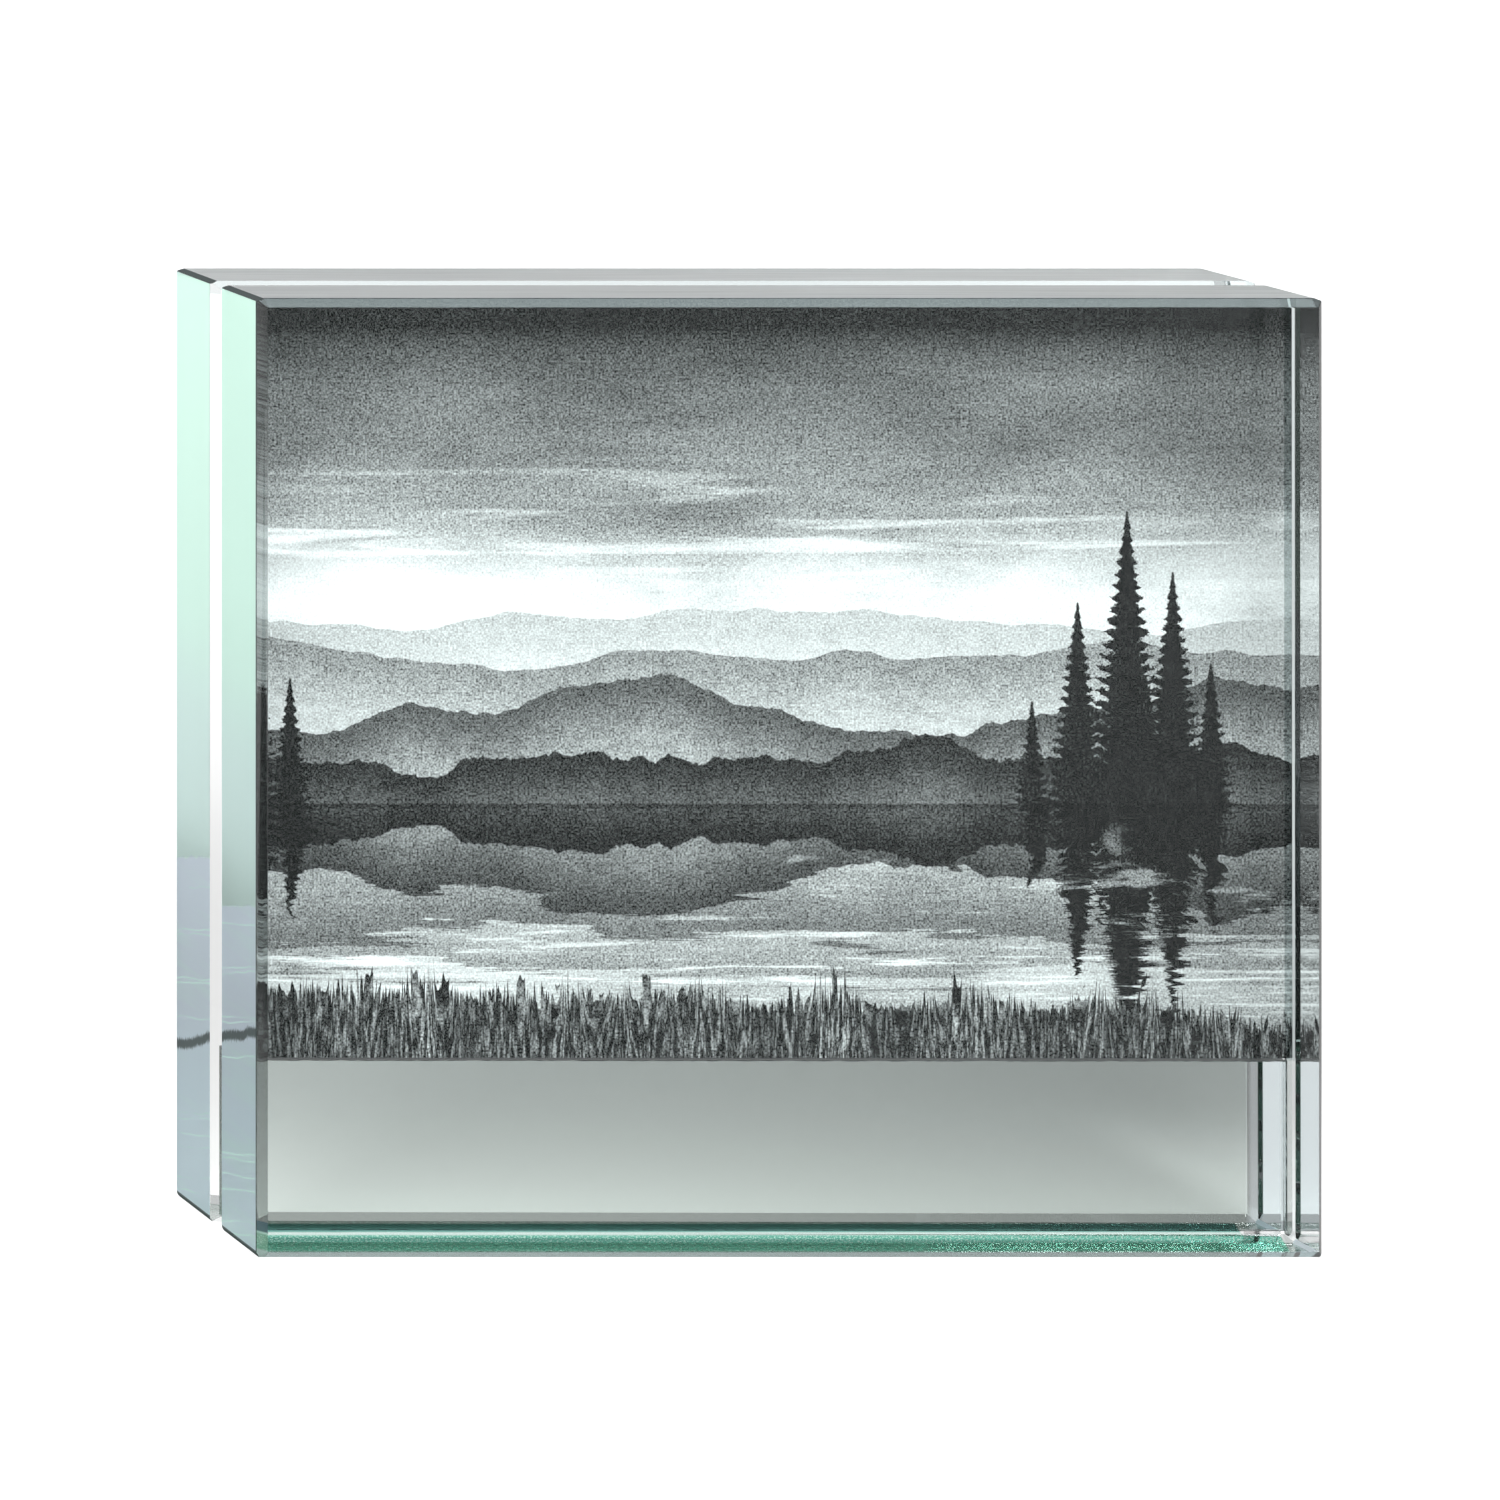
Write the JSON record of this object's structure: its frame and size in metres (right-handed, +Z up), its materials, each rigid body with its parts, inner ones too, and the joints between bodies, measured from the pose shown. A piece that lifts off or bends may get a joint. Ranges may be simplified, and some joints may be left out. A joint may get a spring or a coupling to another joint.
{
  "type": "glass picture frame",
  "caption": "Free-standing glass picture frame: bevelled glass blocks bonded along the foot with a clear spacer strip, leaving a slot above it that holds a landscape photographic print.",
  "frame": {"origin": "on the surface that the frame stands on, under the middle of its width and depth", "axes": "+X along the width, to the right as seen from the front, +Y to the back, +Z up"},
  "size_m": [0.18, 0.0316, 0.162],
  "materials": {
    "clear_glass": "polished plate glass with a faint green cast",
    "clear_strip": "clear acrylic with saw-cut edges",
    "clear_adhesive": "clear bonding film",
    "print_paper": "resin-coated photo paper, satin, black and white picture on the front and white back"
  },
  "bodies": {
    "frame": {"front_block": "clear_glass", "rear_block": "clear_glass", "spacer_strip": "clear_strip", "front_adhesive": "clear_adhesive", "rear_adhesive": "clear_adhesive"},
    "print": {"photo_print": "print_paper"}
  },
  "joints": [
    {"name": "print_slide", "type": "slide", "parent": "frame", "child": "print", "axis": [0, 0, 1], "range_m": [0, 0.135]}
  ]
}
